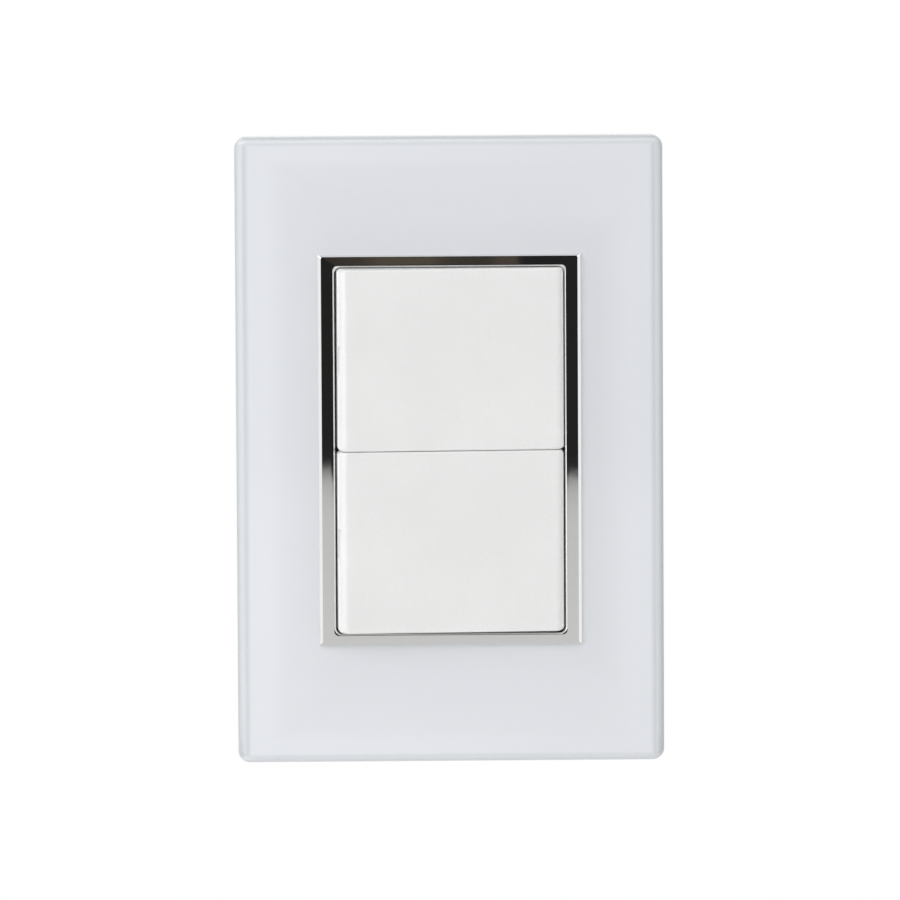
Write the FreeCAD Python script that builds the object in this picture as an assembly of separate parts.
import FreeCAD
import Part
import math
import os

# Wall light switch for a 4 x 2 inch wall box: a white glass plate with a chrome-edged window,
# and in the window two rocker switch modules, one above the other.
#
# Frame: X to the right and Z up as seen by a user, Y into the wall. The origin is on the wall
# surface, midway between the two box screws. All sizes are in millimetres.

V = FreeCAD.Vector
INTO_WALL = V(0, 1, 0)
UP = V(0, 0, 1)
TOUCHING = 0.001             # closer than this, two places are the same
SMALL_ROD_FLATS = 18         # flats round a rivet or a clamp screw

# Glass plate
PLATE_WIDTH = 80.2
PLATE_HEIGHT = 118.0
PLATE_CORNER = 2.2
FACE_CORNER = 0.6            # corner of the flat face, inside the ground edge
GLASS_THICKNESS = 4.0
GLASS_SIDE_EDGE = 2.3        # width of the ground edge at the left and right
GLASS_END_EDGE = 1.5         # width of the ground edge at the top and bottom
GLASS_EDGE_DEPTH = 1.3
GLASS_EDGE_STEPS = 4
GLASS_BACK_CHAMFER = 0.3

# Plastic carrier bonded behind the glass
CARRIER_DEPTH = 5.0
CARRIER_INSET = 1.2
CARRIER_WEB = 1.2
CARRIER_SKIRT = 1.6
CARRIER_CORNER = 2.0
CARRIER_RIB = 1.2
CARRIER_RIB_HEIGHT = 1.4
CARRIER_SIDE_RIBS = 5
CARRIER_END_RIBS = 3
CARRIER_SIDE_RIB_PITCH = 19.0
CARRIER_END_RIB_PITCH = 15.0
CARRIER_RIM_GAP = 1.1        # room between the window and the rim for the bezel's snap ramps
PRY_NOTCH_WIDTH = 9.0
PRY_NOTCH_DEPTH = 1.6

# Snap hooks that hold the plate on the mounting frame
HOOK_RIM_GAP = 1.2           # from the carrier's rim to the middle of a hook
HOOK_Z = 26.0
HOOK_THICKNESS = 1.6
HOOK_WIDTH = 6.0
HOOK_BARB = 0.6
HOOK_BARB_HEIGHT = 0.65
HOOK_LEDGE = 0.8             # flange left in front of the barb
HOOK_CLEARANCE = 0.3

# Chrome bezel
BEZEL_WIDTH = 49.2
BEZEL_HEIGHT = 73.6
BEZEL_OPENING_WIDTH = 43.1
BEZEL_OPENING_HEIGHT = 69.1
BEZEL_OPENING_CORNER = 1.2
BEZEL_PROUD = 1.0            # crest above the glass
BEZEL_STEP = 0.4             # upright outer edge
BEZEL_CHAMFER = 0.75
BEZEL_FALL = 0.12            # fall of the broad face towards its outer edge
BEZEL_LIP_CHAMFER = 0.35
BEZEL_LIP_FLAT = 0.6
BEZEL_LIP_DEPTH = 1.8
BEZEL_OVERLAP = 0.95         # how far the bezel covers the glass around the window
BEZEL_SLEEVE_CLEARANCE = 0.2
BEZEL_SLEEVE_SIDE_WALL = 1.3
BEZEL_SNAP_REACH = 0.75
BEZEL_SNAP_WIDTH = 7.0
BEZEL_SNAP_HEIGHT = 1.0
BEZEL_SNAP_Z = 19.0
SNAP_CLEARANCE = 0.1

# Mounting frame
FRAME_SIDE_GAP = 1.2         # room inside the plate's carrier, at the sides
FRAME_END_GAP = 3.2          # and at the top and bottom
FRAME_CORNER = 4.0
FRAME_THICKNESS = 1.8
FRAME_RIM = 1.5
FRAME_RIM_DEPTH = 4.0
BOX_SCREW_SPACING = 83.5
BOX_SCREW_SLOT_WIDTH = 4.0
BOX_SCREW_SLOT_LENGTH = 7.0
SCREW_PAD_MARGIN = 2.0       # round the slot
SCREW_PAD_RECESS = 0.5
LIGHTENING_MARGIN = 3.0      # frame left at each side of a lightening slot
LIGHTENING_HEIGHT = 22.0
FRAME_END_SLOT_WIDTH = 30.0
FRAME_END_SLOT_HEIGHT = 2.4

# Switch modules
MODULE_PITCH = 34.3
MODULE_GAP = 0.2
LEDGE_WIDTH = 43.6           # front part, which rests on the mounting frame
CASE_WIDTH = 40.8            # rear part, which passes through it
CASE_END_STEP = 0.4          # each end of the rear part, inside the front part
CASE_WALL = 1.4
CASE_BEVEL = 0.7             # at the four long edges
CASE_FRONT = -5.5
CASE_FRONT_WALL = 1.5
CASE_DEPTH = 17.0            # behind the wall surface
CASE_CLEARANCE = 0.3
CATCH_WIDTH = 8.0
CATCH_REACH = 1.1
CATCH_HEIGHT = 2.4
CATCH_GAP = 0.05
BARREL_OPENING_WIDTH = 10.4
BARREL_OPENING_HEIGHT = 8.8

# Rocker: cap, actuator and pivot
ROCKER_WIDTH = 42.4
ROCKER_GAP = 0.2             # seam between the two caps
ROCKER_FACE = -12.8          # level of the face when the rocker is midway
ROCKER_DEPTH = 5.6
ROCKER_SIDE_ROUND = 1.8
ROCKER_EDGE_CHAMFER = 0.2
ROCKER_CORNER = 0.6          # as seen from the front
ROCKER_FRONT_WALL = 1.8
ROCKER_SKIRT = 1.5
ROCKER_SWING = 3.5           # degrees each way from midway
PIVOT = -7.8
PIVOT_PIN_RADIUS = 1.5
PIVOT_CLEARANCE = 0.05
PIVOT_PIN_LENGTH = 2.5
EAR_THICKNESS = 2.0
EAR_WIDTH = 6.4
EAR_PIN_COVER = 0.6
EAR_GAP = 0.6                # from the actuator's cheek to the ear
EAR_LEAD_IN = 2.5
TOUCH_MARK_LENGTH = 5.4
TOUCH_MARK_WIDTH = 1.8
TOUCH_MARK_DEPTH = 0.45
TOUCH_MARK_SETBACK = 1.9     # from the face to the middle of the mark

ACTUATOR_WIDTH = 22.0
ACTUATOR_HEIGHT = 24.8
ACTUATOR_PLATE = 1.4
CHEEK_THICKNESS = 1.4
CHEEK_RADIUS = 2.0
ACTUATOR_WEB = 1.2
ACTUATOR_WEB_DEPTH = 3.4
BARREL_RADIUS = 3.2
BARREL_BORE = 2.15
BARREL_END = 4.0
CLIP_THICKNESS = 1.2
CLIP_WIDTH = 5.0
CLIP_Z = 7.0
CLIP_BARB = 0.5
CLIP_BARB_HEIGHT = 0.7
CLIP_CLEARANCE = 0.1

PLUNGER_CLEARANCE = 0.08
PLUNGER_HEAD = -1.0
PLUNGER_TIP_RADIUS = 1.4
PLUNGER_SHOULDER = 1.4       # from the shoulder to the centre of the round tip
PLUNGER_NOSE_STEPS = 2       # flats from the tip's widest place to its point
PLUNGER_SPIGOT_RADIUS = 1.0
PLUNGER_SPIGOT_LENGTH = 2.0
PLUNGER_TIP_GAP = 0.1
SPRING_WIRE = 0.5
SPRING_RADIUS = 1.6
SPRING_TURNS = 5
SPRING_STEPS = 8             # flats in each turn
SPRING_SIDES = 6             # flats round the wire
SPRING_BORE_END = 1.2        # solid left in front of the barrel's bore

# Contacts and terminals
FULCRUM = 11.0
BLADE_WIDTH = 6.0
BLADE_THICKNESS = 0.9
BLADE_SWING = 8.0            # degrees each way, and the rise of each arm
BLADE_TAB_WIDTH = 1.0
BLADE_TAB_REACH = 1.3
CONTACT_SETBACK = 3.7        # from the line terminal to the contacts' middle
CONTACT_RADIUS = 1.4
CONTACT_THICKNESS = 0.8
CONTACT_SHANK = 0.75
CONTACT_SHANK_CLEARANCE = 0.02
CONTACT_TOUCH_GAP = 0.05
STRIP_THICKNESS = 1.0
COMMON_STRIP = 13.0
COMMON_STRIP_WIDTH = 3.6
CRADLE_EAR = 0.9
CRADLE_EAR_GAP = 0.4
CRADLE_WIDTH = 4.4
CRADLE_RISE = 1.6
CRADLE_NOTCH_RADIUS = 0.75
CRADLE_NOTCH_CENTRE = 0.4
LINE_STRIP_WIDTH = 5.0
LINE_STRIP_REACH = 2.2
TERMINAL_WIDTH = 6.8
TERMINAL_HEIGHT = 7.6
TERMINAL_LENGTH = 9.0
TERMINAL_CHAMFER = 0.4
TERMINAL_WALL_GAP = 0.3
WIRE_RADIUS = 2.1
WIRE_WALL = 2.1              # metal between the wire bore and the terminal's outer side
WIRE_ENTRY_RADIUS = 2.3
WIRE_ENTRY_FUNNEL = 0.5
SCREW_RADIUS = 1.7
SCREW_CLEARANCE = 0.05
SCREW_HEAD_RADIUS = 2.8
SCREW_HEAD = 1.7
SCREW_HEAD_GAP = 0.4
SCREW_TIP_GAP = 0.2
SCREW_SLOT_WIDTH = 0.8
SCREW_SLOT_DEPTH = 0.8
SCREW_SLOT_MARGIN = 0.8      # from the end of a slot to the edge of the head
SCREW_ACCESS_CLEARANCE = 0.4
SCREW_SETBACK = 4.5          # from the terminal's back to the screw

# Rear base of a module
BASE_THICKNESS = 1.6
BASE_LIP = 1.2
BASE_LIP_HEIGHT = 1.5
BASE_CLEARANCE = 0.15
BASE_PANEL_RECESS = 0.4
BASE_PANEL_MARGIN = 3.0
LATCH_THICKNESS = 1.2
LATCH_WIDTH = 4.6
LATCH_Z = 11.0
LATCH_LENGTH = 7.6
LATCH_BARB = 0.9
LATCH_BARB_HEIGHT = 1.4
LATCH_CLEARANCE = 0.2
POST_WIDTH = 2.0
POST_THICKNESS = 0.85
POST_GAP = 0.3
HOLD_DOWN_WIDTH = 2.0

# Worked out from the sizes above
CARRIER_FRONT = -CARRIER_DEPTH
GLASS_FRONT = CARRIER_FRONT - GLASS_THICKNESS
WEB_BACK = CARRIER_FRONT + CARRIER_WEB
WINDOW_WIDTH = BEZEL_WIDTH - 2 * BEZEL_OVERLAP
WINDOW_HEIGHT = BEZEL_HEIGHT - 2 * BEZEL_OVERLAP
CARRIER_WIDTH = PLATE_WIDTH - 2 * CARRIER_INSET
CARRIER_HEIGHT = PLATE_HEIGHT - 2 * CARRIER_INSET
HOLLOW_WIDTH = CARRIER_WIDTH - 2 * CARRIER_SKIRT
HOLLOW_HEIGHT = CARRIER_HEIGHT - 2 * CARRIER_SKIRT
RIM_WIDTH = WINDOW_WIDTH + 2 * (CARRIER_RIM_GAP + CARRIER_RIB)
RIM_HEIGHT = WINDOW_HEIGHT + 2 * (CARRIER_RIM_GAP + CARRIER_RIB)
FRAME_WIDTH = HOLLOW_WIDTH - 2 * FRAME_SIDE_GAP
FRAME_HEIGHT = HOLLOW_HEIGHT - 2 * FRAME_END_GAP
HOOK_X = RIM_WIDTH / 2 + HOOK_RIM_GAP
SLEEVE_WIDTH = WINDOW_WIDTH - 2 * BEZEL_SLEEVE_CLEARANCE
SLEEVE_HEIGHT = WINDOW_HEIGHT - 2 * BEZEL_SLEEVE_CLEARANCE
SNAP_BACK = WEB_BACK + SNAP_CLEARANCE + BEZEL_SNAP_HEIGHT
FRAME_FRONT = -FRAME_THICKNESS
FRAME_WINDOW_WIDTH = CASE_WIDTH + 2 * CASE_CLEARANCE
MODULE_HEIGHT = MODULE_PITCH - MODULE_GAP
CASE_HEIGHT = MODULE_HEIGHT - 2 * CASE_END_STEP
FRAME_WINDOW_HEIGHT = MODULE_PITCH + CASE_HEIGHT + 2 * CASE_CLEARANCE
ROCKER_HEIGHT = MODULE_PITCH - ROCKER_GAP
ROCKER_BACK = ROCKER_FACE + ROCKER_DEPTH
CAP_INSIDE = ROCKER_FACE + ROCKER_FRONT_WALL
CASE_INSIDE = CASE_FRONT + CASE_FRONT_WALL
CAVITY_WIDTH = CASE_WIDTH - 2 * CASE_WALL
CAVITY_HEIGHT = CASE_HEIGHT - 2 * CASE_WALL
ACTUATOR_BACK = CAP_INSIDE + ACTUATOR_PLATE
EAR_Z = ACTUATOR_HEIGHT / 2 + EAR_GAP
BORE_END = CAP_INSIDE + ACTUATOR_PLATE + SPRING_BORE_END
PLUNGER_RADIUS = BARREL_BORE - PLUNGER_CLEARANCE
BLADE_RISE = math.radians(BLADE_SWING)
BLADE_VALLEY = FULCRUM - BLADE_THICKNESS / math.cos(BLADE_RISE)
PLUNGER_TIP = BLADE_VALLEY - PLUNGER_TIP_RADIUS * (1 / math.cos(BLADE_RISE) - 1) - PLUNGER_TIP_GAP
FIXED_CONTACT_FACE = FULCRUM + CONTACT_THICKNESS + CONTACT_TOUCH_GAP
LINE_STRIP = FIXED_CONTACT_FACE + CONTACT_THICKNESS
TERMINAL_OUTSIDE = CAVITY_WIDTH / 2 - TERMINAL_WALL_GAP
TERMINAL_INSIDE = TERMINAL_OUTSIDE - TERMINAL_WIDTH
TERMINAL_FRONT = CASE_DEPTH - TERMINAL_LENGTH
WIRE_X = TERMINAL_OUTSIDE - WIRE_WALL - WIRE_RADIUS
SCREW_Y = CASE_DEPTH - SCREW_SETBACK
CONTACT_X = TERMINAL_INSIDE - CONTACT_SETBACK
BLADE_LENGTH = CONTACT_X + CONTACT_RADIUS
BASE_BACK = CASE_DEPTH + BASE_THICKNESS
CRADLE_Z = BLADE_WIDTH / 2 + CRADLE_EAR_GAP


def block(x_from, x_to, y_from, y_to, z_from, z_to):
    """A box between two corners, whichever way round they are given."""
    low = V(min(x_from, x_to), min(y_from, y_to), min(z_from, z_to))
    size = [abs(x_to - x_from), abs(y_to - y_from), abs(z_to - z_from)]
    return Part.makeBox(*size, low)


def outline(width, height, y, corner=0.0):
    """A closed rectangle round the Y axis, in the plane at y, with rounded corners if asked."""
    half_x, half_z = width / 2, height / 2
    if not corner:
        spots = [V(sx * half_x, y, sz * half_z) for sx, sz in ((-1, -1), (1, -1), (1, 1), (-1, 1))]
        return Part.makePolygon(spots + spots[:1])
    arcs = []
    for quarter, (sx, sz) in enumerate(((1, 1), (-1, 1), (-1, -1), (1, -1))):
        centre = V(sx * (half_x - corner), y, sz * (half_z - corner))
        turns = [(quarter + share) * math.pi / 2 for share in (0, 0.5, 1)]
        ends = [centre + V(math.cos(t), 0, math.sin(t)) * corner for t in turns]
        arcs.append((Part.Arc(*ends).toShape(), ends[0], ends[2]))
    edges = []
    for index, (arc, _, end) in enumerate(arcs):
        edges += [arc, Part.makeLine(end, arcs[(index + 1) % 4][1])]
    return Part.Wire(edges)


def slab(width, height, front, back, corner=0.0):
    """A flat plate round the Y axis, from front to back."""
    return Part.Face(outline(width, height, front, corner)).extrude(INTO_WALL * (back - front))


def bevelled_slab(width, height, front, back, bevel):
    """A flat plate like slab's, with its corners cut off straight."""
    half_x, half_z = width / 2, height / 2
    spots = []
    for sx, sz in ((1, 1), (-1, 1), (-1, -1), (1, -1)):
        corner = [V(sx * half_x, front, sz * (half_z - bevel)), V(sx * (half_x - bevel), front, sz * half_z)]
        spots += corner if sx == sz else corner[::-1]
    return Part.Face(Part.makePolygon(spots + spots[:1])).extrude(INTO_WALL * (back - front))


def ring(width, height, wall, front, back, corner=0.0):
    """A rectangular frame of one wall thickness, given by its outside size."""
    inner = slab(width - 2 * wall, height - 2 * wall, front, back, max(corner - wall, 0))
    return slab(width, height, front, back, corner).cut(inner)


def rod(radius, start, direction, length):
    return Part.makeCylinder(radius, length, start, direction)


def small_rod(radius, start, direction, length):
    """A rod along X or Y whose round is made of flats."""
    across = V(direction.y, direction.x, 0)
    turns = [2 * math.pi * flat / SMALL_ROD_FLATS for flat in range(SMALL_ROD_FLATS)]
    spots = [start + (across * math.cos(turn) + UP * math.sin(turn)) * radius for turn in turns]
    return Part.Face(Part.makePolygon(spots + spots[:1])).extrude(direction * length)


def along_z(spots, z_from, z_to):
    """A profile drawn in X and Y, extruded upwards."""
    points = [V(x, y, z_from) for x, y in spots]
    return Part.Face(Part.makePolygon(points + points[:1])).extrude(UP * (z_to - z_from))


def mirror_x(shape):
    return shape.mirror(V(0, 0, 0), V(1, 0, 0))


def mirror_z(shape):
    return shape.mirror(V(0, 0, 0), UP)


def both_sides(shape):
    return [shape, mirror_x(shape)]


def four_ways(shape):
    return both_sides(shape) + both_sides(mirror_z(shape))


def joined(first, others):
    return first.fuse(others).removeSplitter()


def in_front(edges, y):
    """The edges that lie wholly in front of depth y."""
    return [e for e in edges if e.BoundBox.YMax < y - TOUCHING]


# Plate, carrier and bezel

def glass_plate():
    """One sheet of glass whose front edge is ground to a quarter ellipse, with a sharp window."""
    sections = []
    for step in range(GLASS_EDGE_STEPS + 1):
        turn = math.pi / 2 * step / GLASS_EDGE_STEPS
        inset = 1 - math.sin(turn)
        sections.append(outline(
            PLATE_WIDTH - 2 * GLASS_SIDE_EDGE * inset,
            PLATE_HEIGHT - 2 * GLASS_END_EDGE * inset,
            GLASS_FRONT + GLASS_EDGE_DEPTH * (1 - math.cos(turn)),
            FACE_CORNER + (PLATE_CORNER - FACE_CORNER) * (1 - inset)))
    sections.append(outline(PLATE_WIDTH, PLATE_HEIGHT, CARRIER_FRONT - GLASS_BACK_CHAMFER, PLATE_CORNER))
    sections.append(outline(
        PLATE_WIDTH - 2 * GLASS_BACK_CHAMFER, PLATE_HEIGHT - 2 * GLASS_BACK_CHAMFER,
        CARRIER_FRONT, PLATE_CORNER - GLASS_BACK_CHAMFER))
    sheet = Part.makeLoft(sections, True, True)
    return sheet.cut(slab(WINDOW_WIDTH, WINDOW_HEIGHT, GLASS_FRONT, CARRIER_FRONT))


def plate_hook():
    """A cantilever hook at the right, whose barb catches under a ledge of the mounting frame."""
    inner = HOOK_X - HOOK_THICKNESS / 2
    outer = HOOK_X + HOOK_THICKNESS / 2
    catch = FRAME_FRONT + HOOK_LEDGE + SNAP_CLEARANCE
    tip = catch + HOOK_BARB_HEIGHT
    profile = [(inner, WEB_BACK), (outer, WEB_BACK), (outer, catch), (outer + HOOK_BARB, catch),
               (outer, tip), (inner, tip)]
    return along_z(profile, HOOK_Z - HOOK_WIDTH / 2, HOOK_Z + HOOK_WIDTH / 2)


def plate_carrier():
    """Tray behind the glass: web, skirt, a rim round the window, ribs between them, and four hooks."""
    tray = slab(CARRIER_WIDTH, CARRIER_HEIGHT, CARRIER_FRONT, 0, CARRIER_CORNER)
    tray = tray.cut(slab(HOLLOW_WIDTH, HOLLOW_HEIGHT, WEB_BACK, 0, CARRIER_CORNER / 2))

    rib_back = WEB_BACK + CARRIER_RIB_HEIGHT
    stiffeners = [ring(RIM_WIDTH, RIM_HEIGHT, CARRIER_RIB, WEB_BACK, rib_back)]
    for number in range(CARRIER_SIDE_RIBS):
        z = (number - (CARRIER_SIDE_RIBS - 1) / 2) * CARRIER_SIDE_RIB_PITCH
        side = block(RIM_WIDTH / 2, HOLLOW_WIDTH / 2, WEB_BACK, rib_back,
                     z - CARRIER_RIB / 2, z + CARRIER_RIB / 2)
        stiffeners += both_sides(side)
    for number in range(CARRIER_END_RIBS):
        x = (number - (CARRIER_END_RIBS - 1) / 2) * CARRIER_END_RIB_PITCH
        end = block(x - CARRIER_RIB / 2, x + CARRIER_RIB / 2, WEB_BACK, rib_back,
                    RIM_HEIGHT / 2, HOLLOW_HEIGHT / 2)
        stiffeners += [end, mirror_z(end)]

    carrier = joined(tray, stiffeners + four_ways(plate_hook()))
    carrier = carrier.cut(slab(WINDOW_WIDTH, WINDOW_HEIGHT, CARRIER_FRONT, WEB_BACK))
    pry_notch = block(-PRY_NOTCH_WIDTH / 2, PRY_NOTCH_WIDTH / 2, -PRY_NOTCH_DEPTH, 0,
                      -CARRIER_HEIGHT / 2, -HOLLOW_HEIGHT / 2)
    return carrier.cut(pry_notch)


def bezel_snap(half_size):
    """A ramp that clips behind the carrier's web, drawn at the right of a wall at half_size."""
    front = WEB_BACK + SNAP_CLEARANCE
    profile = [(half_size - BEZEL_SLEEVE_CLEARANCE, front), (half_size + BEZEL_SNAP_REACH, front),
               (half_size, SNAP_BACK), (half_size - BEZEL_SLEEVE_CLEARANCE, SNAP_BACK)]
    return along_z(profile, -BEZEL_SNAP_WIDTH / 2, BEZEL_SNAP_WIDTH / 2)


def chrome_bezel():
    """Plated trim: a mitred face with a chamfered outer edge and a bevelled lip, on a snap-in sleeve."""
    chamfer_top = GLASS_FRONT - BEZEL_PROUD + BEZEL_FALL
    crest = GLASS_FRONT - BEZEL_PROUD
    face = Part.makeLoft([
        outline(BEZEL_WIDTH, BEZEL_HEIGHT, GLASS_FRONT),
        outline(BEZEL_WIDTH, BEZEL_HEIGHT, GLASS_FRONT - BEZEL_STEP),
        outline(BEZEL_WIDTH - 2 * BEZEL_CHAMFER, BEZEL_HEIGHT - 2 * BEZEL_CHAMFER, chamfer_top),
        outline(BEZEL_OPENING_WIDTH + 2 * BEZEL_LIP_FLAT, BEZEL_OPENING_HEIGHT + 2 * BEZEL_LIP_FLAT, crest),
    ], True, True)
    sleeve = slab(SLEEVE_WIDTH, SLEEVE_HEIGHT, GLASS_FRONT, SNAP_BACK)
    body = joined(face, [sleeve])

    opening = slab(BEZEL_OPENING_WIDTH, BEZEL_OPENING_HEIGHT, crest, SNAP_BACK, BEZEL_OPENING_CORNER)
    body = body.cut(opening)
    front_loop = [e for e in in_front(body.Edges, crest + BEZEL_LIP_DEPTH)
                  if all(abs(v.X) < BEZEL_OPENING_WIDTH / 2 + TOUCHING for v in e.Vertexes)
                  and all(abs(v.Z) < BEZEL_OPENING_HEIGHT / 2 + TOUCHING for v in e.Vertexes)]
    body = body.makeChamfer(BEZEL_LIP_CHAMFER, front_loop)

    widening = slab(SLEEVE_WIDTH - 2 * BEZEL_SLEEVE_SIDE_WALL, BEZEL_OPENING_HEIGHT,
                    crest + BEZEL_LIP_DEPTH, SNAP_BACK)
    body = body.cut(widening)

    snaps = []
    for z in (-BEZEL_SNAP_Z, BEZEL_SNAP_Z):
        snaps += both_sides(bezel_snap(WINDOW_WIDTH / 2).translated(UP * z))
    top_snap = bezel_snap(WINDOW_HEIGHT / 2)
    top_snap.rotate(V(0, 0, 0), INTO_WALL, -90)
    snaps += [top_snap, mirror_z(top_snap)]
    return joined(body, snaps)


# Mounting frame

def mounting_frame():
    """Flat frame screwed to the wall box: window with a stiffening rim, slots, hook pockets."""
    flange = slab(FRAME_WIDTH, FRAME_HEIGHT, FRAME_FRONT, 0, FRAME_CORNER)
    rim = slab(FRAME_WINDOW_WIDTH + 2 * FRAME_RIM, FRAME_WINDOW_HEIGHT + 2 * FRAME_RIM, 0, FRAME_RIM_DEPTH)
    frame = joined(flange, [rim])

    holes = [slab(FRAME_WINDOW_WIDTH, FRAME_WINDOW_HEIGHT, FRAME_FRONT, FRAME_RIM_DEPTH)]
    notch_half = CATCH_WIDTH / 2 + CASE_CLEARANCE
    for z in (-MODULE_PITCH / 2, MODULE_PITCH / 2):
        notch = block(FRAME_WINDOW_WIDTH / 2, FRAME_WINDOW_WIDTH / 2 + FRAME_RIM, 0, FRAME_RIM_DEPTH,
                      z - notch_half, z + notch_half)
        holes += both_sides(notch)

    slot_z = BOX_SCREW_SPACING / 2
    radius = BOX_SCREW_SLOT_WIDTH / 2
    straight = BOX_SCREW_SLOT_LENGTH / 2 - radius
    pad_reach = BOX_SCREW_SLOT_LENGTH / 2 + SCREW_PAD_MARGIN
    pad = block(-radius - SCREW_PAD_MARGIN, radius + SCREW_PAD_MARGIN,
                FRAME_FRONT, FRAME_FRONT + SCREW_PAD_RECESS, slot_z - pad_reach, slot_z + pad_reach)
    slot_parts = [block(-radius, radius, FRAME_FRONT, 0, slot_z - straight, slot_z + straight)]
    for end in (-straight, straight):
        slot_parts.append(rod(radius, V(0, FRAME_FRONT, slot_z + end), INTO_WALL, FRAME_THICKNESS))
    slot = joined(slot_parts[0], slot_parts[1:])
    for cutter in (pad, slot):
        holes += [cutter, mirror_z(cutter)]

    inner = HOOK_X - HOOK_THICKNESS / 2 - HOOK_CLEARANCE
    outer = HOOK_X + HOOK_THICKNESS / 2 + HOOK_CLEARANCE
    low, high = HOOK_Z - HOOK_WIDTH / 2 - HOOK_CLEARANCE, HOOK_Z + HOOK_WIDTH / 2 + HOOK_CLEARANCE
    holes += four_ways(block(inner, outer, FRAME_FRONT, 0, low, high))
    holes += four_ways(block(inner, outer + HOOK_BARB, FRAME_FRONT + HOOK_LEDGE, 0, low, high))

    lightening = block(FRAME_WINDOW_WIDTH / 2 + FRAME_RIM + LIGHTENING_MARGIN,
                       FRAME_WIDTH / 2 - LIGHTENING_MARGIN, FRAME_FRONT, 0,
                       -LIGHTENING_HEIGHT / 2, LIGHTENING_HEIGHT / 2)
    holes += both_sides(lightening)
    end_slot_z = (BOX_SCREW_SPACING + BOX_SCREW_SLOT_LENGTH + FRAME_HEIGHT) / 4
    end_slot = block(-FRAME_END_SLOT_WIDTH / 2, FRAME_END_SLOT_WIDTH / 2, FRAME_FRONT, 0,
                     end_slot_z - FRAME_END_SLOT_HEIGHT / 2, end_slot_z + FRAME_END_SLOT_HEIGHT / 2)
    holes += [end_slot, mirror_z(end_slot)]
    return frame.cut(holes)


# One switch module, modelled round the origin and then moved up or down

def pivot_ear():
    """Upright ear with a round seat for a pivot pin and a narrower lead-in that the pin snaps through."""
    front = PIVOT - PIVOT_PIN_RADIUS - EAR_PIN_COVER
    seat = PIVOT_PIN_RADIUS + PIVOT_CLEARANCE
    ear = block(-EAR_WIDTH / 2, EAR_WIDTH / 2, front, CASE_FRONT, EAR_Z, EAR_Z + EAR_THICKNESS)
    ear = ear.cut(rod(seat, V(0, PIVOT, EAR_Z), UP, EAR_THICKNESS))
    return ear.cut(block(-EAR_LEAD_IN / 2, EAR_LEAD_IN / 2, front, PIVOT, EAR_Z, EAR_Z + EAR_THICKNESS))


def side_catch():
    """Wedge on the case's side that catches behind the mounting frame."""
    side = CASE_WIDTH / 2
    profile = [(side, CATCH_GAP), (side + CATCH_REACH, CATCH_GAP), (side, CATCH_GAP + CATCH_HEIGHT)]
    return along_z(profile, -CATCH_WIDTH / 2, CATCH_WIDTH / 2)


def module_case():
    """Case open at the back, with a ledge at the front, pivot ears and holes for screws and latches."""
    front_part = bevelled_slab(LEDGE_WIDTH, MODULE_HEIGHT, CASE_FRONT, FRAME_FRONT, CASE_BEVEL)
    rear_part = bevelled_slab(CASE_WIDTH, CASE_HEIGHT, FRAME_FRONT, CASE_DEPTH, CASE_BEVEL)
    shell = joined(front_part, [rear_part])
    shell = shell.cut(slab(CAVITY_WIDTH, CAVITY_HEIGHT, CASE_INSIDE, CASE_DEPTH))
    shell = shell.cut(slab(BARREL_OPENING_WIDTH, BARREL_OPENING_HEIGHT, CASE_FRONT, CASE_INSIDE))

    ear = pivot_ear()
    hold_down = block(WIRE_X - HOLD_DOWN_WIDTH / 2, WIRE_X + HOLD_DOWN_WIDTH / 2, CASE_INSIDE, TERMINAL_FRONT,
                      -CAVITY_HEIGHT / 2, CAVITY_HEIGHT / 2)
    shell = joined(shell, [ear, mirror_z(ear)] + both_sides(side_catch()) + both_sides(hold_down))

    latch_low = LATCH_Z - LATCH_WIDTH / 2 - LATCH_CLEARANCE
    latch_high = LATCH_Z + LATCH_WIDTH / 2 + LATCH_CLEARANCE
    barb_front = CASE_DEPTH - LATCH_LENGTH
    window = block(CAVITY_WIDTH / 2, CASE_WIDTH / 2, barb_front - LATCH_CLEARANCE,
                   barb_front + LATCH_BARB_HEIGHT + LATCH_CLEARANCE, latch_low, latch_high)
    access = rod(SCREW_HEAD_RADIUS + SCREW_ACCESS_CLEARANCE, V(CAVITY_WIDTH / 2, SCREW_Y, 0),
                 V(1, 0, 0), CASE_WALL)
    return shell.cut(four_ways(window) + both_sides(access))


def base_latch():
    """Tongue whose barb snaps into a window in the case's side."""
    outer = CAVITY_WIDTH / 2 - BASE_CLEARANCE
    inner = outer - LATCH_THICKNESS
    front = CASE_DEPTH - LATCH_LENGTH
    catch = front + LATCH_BARB_HEIGHT
    profile = [(inner, CASE_DEPTH), (inner, front), (outer, front), (outer + LATCH_BARB, catch),
               (outer, catch), (outer, CASE_DEPTH)]
    return along_z(profile, LATCH_Z - LATCH_WIDTH / 2, LATCH_Z + LATCH_WIDTH / 2)


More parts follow.
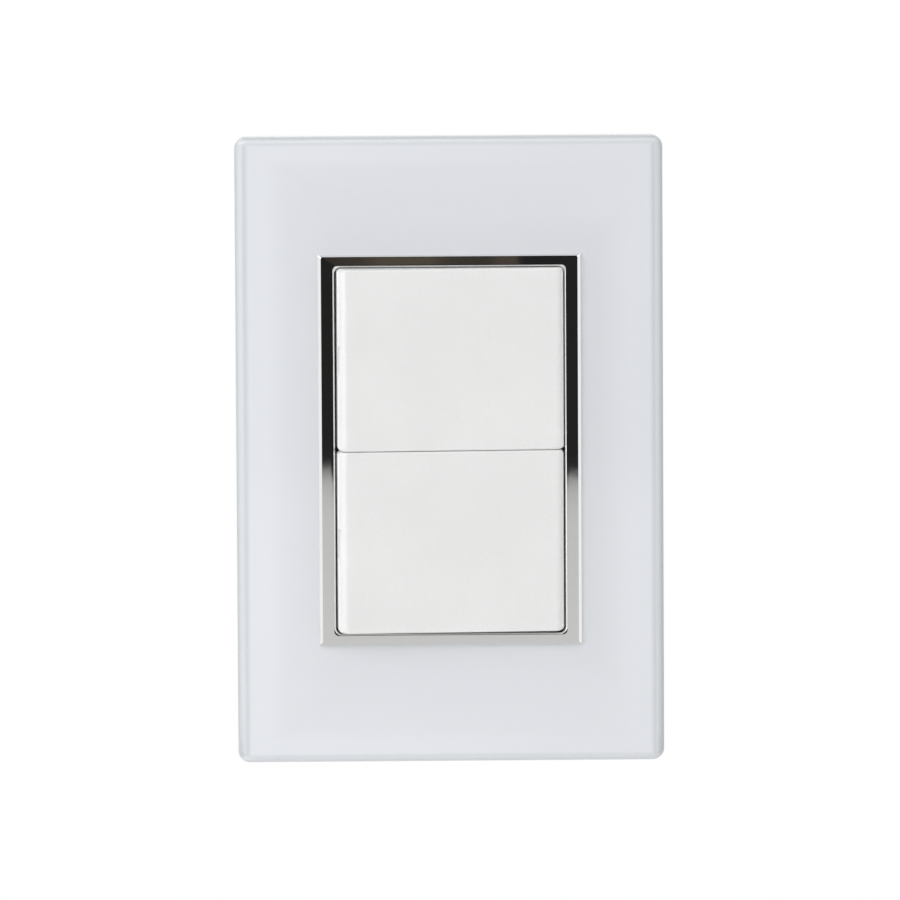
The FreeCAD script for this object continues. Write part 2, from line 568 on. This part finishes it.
def module_base():
    """Rear cover that closes the case: wire entries, latches, contact supports and stop posts."""
    plate = bevelled_slab(CASE_WIDTH, CASE_HEIGHT, CASE_DEPTH, BASE_BACK, CASE_BEVEL)
    lip = ring(CAVITY_WIDTH - 2 * BASE_CLEARANCE, CAVITY_HEIGHT - 2 * BASE_CLEARANCE, BASE_LIP,
               CASE_DEPTH - BASE_LIP_HEIGHT, CASE_DEPTH)
    gap_half = TERMINAL_HEIGHT / 2 + TERMINAL_WALL_GAP
    lip = lip.cut(block(-CAVITY_WIDTH / 2, CAVITY_WIDTH / 2, CASE_DEPTH - BASE_LIP_HEIGHT, CASE_DEPTH,
                        -gap_half, gap_half))
    cradle_seat = block(-CRADLE_WIDTH / 2, CRADLE_WIDTH / 2, COMMON_STRIP + STRIP_THICKNESS, CASE_DEPTH,
                        -COMMON_STRIP_WIDTH / 2, COMMON_STRIP_WIDTH / 2)
    line_seat = block(CONTACT_X - LINE_STRIP_REACH, CONTACT_X + LINE_STRIP_REACH,
                      LINE_STRIP + STRIP_THICKNESS, CASE_DEPTH, -LINE_STRIP_WIDTH / 2, LINE_STRIP_WIDTH / 2)
    post_inner = COMMON_STRIP_WIDTH / 2 + POST_GAP
    post = block(-CONTACT_X - POST_WIDTH / 2, -CONTACT_X + POST_WIDTH / 2,
                 FULCRUM + CONTACT_TOUCH_GAP, CASE_DEPTH, post_inner, post_inner + POST_THICKNESS)
    base = joined(plate, [lip, cradle_seat, line_seat, post, mirror_z(post)] + four_ways(base_latch()))

    panel = slab(2 * (WIRE_X - WIRE_ENTRY_RADIUS - BASE_PANEL_MARGIN), CASE_HEIGHT - 2 * BASE_PANEL_MARGIN,
                 BASE_BACK - BASE_PANEL_RECESS, BASE_BACK)
    base = base.cut(panel)
    entry = rod(WIRE_ENTRY_RADIUS, V(WIRE_X, CASE_DEPTH, 0), INTO_WALL, BASE_THICKNESS)
    funnel = Part.makeCone(WIRE_ENTRY_RADIUS, WIRE_ENTRY_RADIUS + WIRE_ENTRY_FUNNEL, WIRE_ENTRY_FUNNEL,
                           V(WIRE_X, BASE_BACK - WIRE_ENTRY_FUNNEL, 0), INTO_WALL)
    room_half = CONTACT_SHANK + BASE_CLEARANCE
    line_back = LINE_STRIP + STRIP_THICKNESS
    rivet_room = block(CONTACT_X - room_half, CONTACT_X + room_half, line_back, line_back + CONTACT_THICKNESS,
                       -room_half, room_half)
    return base.cut(both_sides(entry) + both_sides(funnel) + [rivet_room])


def terminal_body():
    """Brass pillar at the right: a wire bore from the back, crossed by a screw hole from the side."""
    body = block(TERMINAL_INSIDE, TERMINAL_OUTSIDE, TERMINAL_FRONT, CASE_DEPTH,
                 -TERMINAL_HEIGHT / 2, TERMINAL_HEIGHT / 2)
    long_edges = [e for e in body.Edges if abs(e.Vertexes[0].Y - e.Vertexes[1].Y) > TERMINAL_LENGTH / 2]
    body = body.makeChamfer(TERMINAL_CHAMFER, long_edges)
    body = body.cut(rod(WIRE_RADIUS, V(WIRE_X, TERMINAL_FRONT, 0), INTO_WALL, TERMINAL_LENGTH))
    return body.cut(rod(SCREW_RADIUS + SCREW_CLEARANCE, V(WIRE_X, SCREW_Y, 0), V(1, 0, 0),
                        TERMINAL_OUTSIDE - WIRE_X))


def common_terminal():
    """Left terminal with its strip, and a cradle whose notched ears carry the rocking blade."""
    strip = block(-TERMINAL_INSIDE, CRADLE_WIDTH / 2, COMMON_STRIP, COMMON_STRIP + STRIP_THICKNESS,
                  -COMMON_STRIP_WIDTH / 2, COMMON_STRIP_WIDTH / 2)
    outer = CRADLE_Z + CRADLE_EAR
    floor = block(-CRADLE_WIDTH / 2, CRADLE_WIDTH / 2, COMMON_STRIP, COMMON_STRIP + STRIP_THICKNESS,
                  -outer, outer)
    ear = block(-CRADLE_WIDTH / 2, CRADLE_WIDTH / 2, FULCRUM - CRADLE_RISE, COMMON_STRIP, CRADLE_Z, outer)
    notch_y = FULCRUM - CRADLE_NOTCH_CENTRE
    ear = ear.cut(rod(CRADLE_NOTCH_RADIUS, V(0, notch_y, CRADLE_Z), UP, CRADLE_EAR))
    ear = ear.cut(block(-CRADLE_NOTCH_RADIUS, CRADLE_NOTCH_RADIUS, FULCRUM - CRADLE_RISE, notch_y,
                        CRADLE_Z, outer))
    return joined(mirror_x(terminal_body()), [strip, floor, ear, mirror_z(ear)])


def line_terminal():
    """Right terminal with a short strip that carries the fixed contact."""
    strip = block(CONTACT_X - LINE_STRIP_REACH, TERMINAL_INSIDE, LINE_STRIP, LINE_STRIP + STRIP_THICKNESS,
                  -LINE_STRIP_WIDTH / 2, LINE_STRIP_WIDTH / 2)
    terminal = joined(terminal_body(), [strip])
    return terminal.cut(small_rod(CONTACT_SHANK, V(CONTACT_X, LINE_STRIP, 0), INTO_WALL, STRIP_THICKNESS))


def contact_rivet():
    """Silver rivet whose face lies at y = 0, with its shank behind it."""
    head = small_rod(CONTACT_RADIUS, V(0, 0, 0), INTO_WALL, CONTACT_THICKNESS)
    shank_radius = CONTACT_SHANK - CONTACT_SHANK_CLEARANCE
    shank = small_rod(shank_radius, V(0, CONTACT_THICKNESS, 0), INTO_WALL, STRIP_THICKNESS)
    return joined(head, [shank])


def fixed_contact():
    return contact_rivet().translated(V(CONTACT_X, FIXED_CONTACT_FACE, 0))


def terminal_screw():
    """Clamp screw at the right, drawn up just short of the wire bore, with a cross recess."""
    tip = WIRE_X + WIRE_RADIUS + SCREW_TIP_GAP
    under_head = TERMINAL_OUTSIDE + SCREW_HEAD_GAP
    top = under_head + SCREW_HEAD
    shank = small_rod(SCREW_RADIUS, V(tip, SCREW_Y, 0), V(1, 0, 0), under_head - tip)
    head = small_rod(SCREW_HEAD_RADIUS, V(under_head, SCREW_Y, 0), V(1, 0, 0), SCREW_HEAD)
    half, reach = SCREW_SLOT_WIDTH / 2, SCREW_HEAD_RADIUS - SCREW_SLOT_MARGIN
    bottom = top - SCREW_SLOT_DEPTH
    recess = [block(bottom, top, SCREW_Y - half, SCREW_Y + half, -reach, reach),
              block(bottom, top, SCREW_Y - reach, SCREW_Y + reach, -half, half)]
    return joined(head, [shank]).cut(recess)


def turned(shape, y, angle):
    """The shape turned about an upright axis at depth y."""
    copy = shape.copy()
    copy.rotate(V(0, y, 0), UP, angle)
    return copy


def blade_arm_point(along, proud):
    """A point on the right arm, midway: along the arm from the fulcrum, and proud of its back face."""
    cos_rise, sin_rise = math.cos(BLADE_RISE), math.sin(BLADE_RISE)
    return along * cos_rise - proud * sin_rise, FULCRUM - along * sin_rise - proud * cos_rise


def contact_blade():
    """Copper blade bent to a shallow V, with pivot tabs at its waist and a hole for its contact."""
    right = [blade_arm_point(BLADE_LENGTH, 0), blade_arm_point(BLADE_LENGTH, BLADE_THICKNESS)]
    left = [(-x, y) for x, y in reversed(right)]
    profile = [(0, FULCRUM)] + right + [(0, BLADE_VALLEY)] + left
    blade = along_z(profile, -BLADE_WIDTH / 2, BLADE_WIDTH / 2)
    tab_reach = BLADE_WIDTH / 2 + BLADE_TAB_REACH
    tabs = block(-BLADE_TAB_WIDTH / 2, BLADE_TAB_WIDTH / 2, FULCRUM - BLADE_THICKNESS, FULCRUM,
                 -tab_reach, tab_reach)
    blade = joined(blade, [tabs])
    hole = small_rod(CONTACT_SHANK, V(CONTACT_X, FULCRUM - BLADE_THICKNESS, 0), INTO_WALL, BLADE_THICKNESS)
    blade = blade.cut(turned(hole, FULCRUM, -BLADE_SWING))
    return turned(blade, FULCRUM, -BLADE_SWING)


def moving_contact():
    """Rivet under the blade's right arm, facing the fixed contact."""
    rivet = contact_rivet().mirror(V(0, 0, 0), INTO_WALL)
    rivet.translate(V(CONTACT_X, FULCRUM + CONTACT_THICKNESS, 0))
    trim = block(0, 2 * CONTACT_X, FULCRUM - STRIP_THICKNESS, FULCRUM - BLADE_THICKNESS,
                 -CONTACT_X, CONTACT_X)
    return turned(rivet.cut(trim), FULCRUM, -2 * BLADE_SWING)


def rocker_cap():
    """White key: a hollow cap with rounded left and right edges, clips inside and a touch mark."""
    half = ROCKER_WIDTH / 2
    solid = slab(ROCKER_WIDTH, ROCKER_HEIGHT, ROCKER_FACE, ROCKER_BACK)
    side_edges = [e for e in in_front(solid.Edges, ROCKER_BACK) if e.BoundBox.ZLength > ROCKER_HEIGHT / 2]
    solid = solid.makeFillet(ROCKER_SIDE_ROUND, side_edges)
    end_edges = [e for e in in_front(solid.Edges, ROCKER_BACK)
                 if e.BoundBox.ZLength < TOUCHING and e.BoundBox.XLength > TOUCHING]
    solid = solid.makeChamfer(ROCKER_EDGE_CHAMFER, end_edges)
    solid = solid.common(bevelled_slab(ROCKER_WIDTH, ROCKER_HEIGHT, ROCKER_FACE, ROCKER_BACK, ROCKER_CORNER))
    hollow = slab(ROCKER_WIDTH - 2 * ROCKER_SKIRT, ROCKER_HEIGHT - 2 * ROCKER_SKIRT, CAP_INSIDE, ROCKER_BACK)
    cap = solid.cut(hollow)

    grip = ACTUATOR_WIDTH / 2 + CLIP_CLEARANCE
    under = ACTUATOR_BACK + CLIP_CLEARANCE
    tip = under + CLIP_BARB_HEIGHT
    outer = grip + CLIP_THICKNESS
    profile = [(grip, CAP_INSIDE), (outer, CAP_INSIDE), (outer, tip), (grip, tip),
               (grip - CLIP_BARB, under), (grip, under)]
    clip = along_z(profile, CLIP_Z - CLIP_WIDTH / 2, CLIP_Z + CLIP_WIDTH / 2)
    cap = joined(cap, four_ways(clip))

    mark_y = ROCKER_FACE + TOUCH_MARK_SETBACK
    radius = TOUCH_MARK_WIDTH / 2
    straight = TOUCH_MARK_LENGTH / 2 - radius
    mark = [block(-half, -half + TOUCH_MARK_DEPTH, mark_y - radius, mark_y + radius, -straight, straight)]
    for z in (-straight, straight):
        mark.append(rod(radius, V(-half, mark_y, z), V(1, 0, 0), TOUCH_MARK_DEPTH))
    return turned(cap.cut(mark), PIVOT, ROCKER_SWING)


def actuator():
    """Rocking carrier under the cap: plate, two cheeks with pivot pins, and the plunger's barrel."""
    plate = slab(ACTUATOR_WIDTH, ACTUATOR_HEIGHT, CAP_INSIDE, ACTUATOR_BACK)
    top = ACTUATOR_HEIGHT / 2
    cheek = along_z([(-2 * CHEEK_RADIUS, ACTUATOR_BACK), (2 * CHEEK_RADIUS, ACTUATOR_BACK),
                     (CHEEK_RADIUS, PIVOT), (-CHEEK_RADIUS, PIVOT)], top - CHEEK_THICKNESS, top)
    hub = rod(CHEEK_RADIUS, V(0, PIVOT, top - CHEEK_THICKNESS), UP, CHEEK_THICKNESS)
    pin = rod(PIVOT_PIN_RADIUS, V(0, PIVOT, top), UP, PIVOT_PIN_LENGTH)
    web = block(-ACTUATOR_WEB / 2, ACTUATOR_WEB / 2, ACTUATOR_BACK, ACTUATOR_BACK + ACTUATOR_WEB_DEPTH,
                -top, top)
    barrel = rod(BARREL_RADIUS, V(0, ACTUATOR_BACK, 0), INTO_WALL, BARREL_END - ACTUATOR_BACK)
    upper = [cheek, hub, pin]
    whole = joined(plate, upper + [mirror_z(piece) for piece in upper] + [web, barrel])
    bore = rod(BARREL_BORE, V(0, BORE_END, 0), INTO_WALL, BARREL_END - BORE_END)
    return turned(whole.cut(bore), PIVOT, ROCKER_SWING)


def plunger():
    """Round-nosed pin that slides in the barrel and presses on the blade, with a spring spigot."""
    centre = PLUNGER_TIP - PLUNGER_TIP_RADIUS
    shoulder = centre - PLUNGER_SHOULDER
    spigot_end = PLUNGER_HEAD - PLUNGER_SPIGOT_LENGTH
    points = [V(0, spigot_end, 0), V(PLUNGER_SPIGOT_RADIUS, spigot_end, 0),
              V(PLUNGER_SPIGOT_RADIUS, PLUNGER_HEAD, 0), V(PLUNGER_RADIUS, PLUNGER_HEAD, 0),
              V(PLUNGER_RADIUS, shoulder, 0)]
    for step in range(PLUNGER_NOSE_STEPS + 1):
        turn = math.pi / 2 * step / PLUNGER_NOSE_STEPS
        points.append(V(math.cos(turn), math.sin(turn), 0) * PLUNGER_TIP_RADIUS + INTO_WALL * centre)
    body = Part.Face(Part.makePolygon(points + points[:1])).revolve(V(0, 0, 0), INTO_WALL, 360)
    return turned(body, PIVOT, ROCKER_SWING)


def plunger_spring():
    """Coil spring between the end of the barrel's bore and the plunger's shoulder."""
    start = BORE_END + SPRING_WIRE / 2
    pitch = (PLUNGER_HEAD - SPRING_WIRE / 2 - start) / SPRING_TURNS
    sections = []
    for step in range(round(SPRING_TURNS * SPRING_STEPS) + 1):
        angle = 2 * math.pi * step / SPRING_STEPS
        outward = V(math.cos(angle), 0, math.sin(angle))
        onward = V(-math.sin(angle), pitch / (2 * math.pi * SPRING_RADIUS), math.cos(angle)).normalize()
        across = onward.cross(outward)
        centre = outward * SPRING_RADIUS + INTO_WALL * (start + pitch * step / SPRING_STEPS)
        spots = []
        for side in range(SPRING_SIDES):
            turn = 2 * math.pi * side / SPRING_SIDES
            spots.append(centre + (outward * math.cos(turn) + across * math.sin(turn)) * (SPRING_WIRE / 2))
        sections.append(Part.makePolygon(spots + spots[:1]))
    return turned(Part.makeLoft(sections, True, True), PIVOT, ROCKER_SWING)


MODULE_PIECES = {
    "case": module_case,
    "base": module_base,
    "rocker_cap": rocker_cap,
    "actuator": actuator,
    "plunger": plunger,
    "plunger_spring": plunger_spring,
    "contact_blade": contact_blade,
    "moving_contact": moving_contact,
    "fixed_contact": fixed_contact,
    "common_terminal": common_terminal,
    "line_terminal": line_terminal,
    "common_screw": lambda: mirror_x(terminal_screw()),
    "line_screw": terminal_screw,
}

PLATE_PIECES = {
    "glass_plate": glass_plate,
    "plate_carrier": plate_carrier,
    "chrome_bezel": chrome_bezel,
    "mounting_frame": mounting_frame,
}


def main():
    os.makedirs("parts", exist_ok=True)
    for name, make in PLATE_PIECES.items():
        make().exportStep(f"parts/{name}.step")
    for name, make in MODULE_PIECES.items():
        piece = make()
        for place, side in (("upper", 1), ("lower", -1)):
            moved = piece.translated(UP * (side * MODULE_PITCH / 2))
            moved.exportStep(f"parts/{place}_{name}.step")


main()
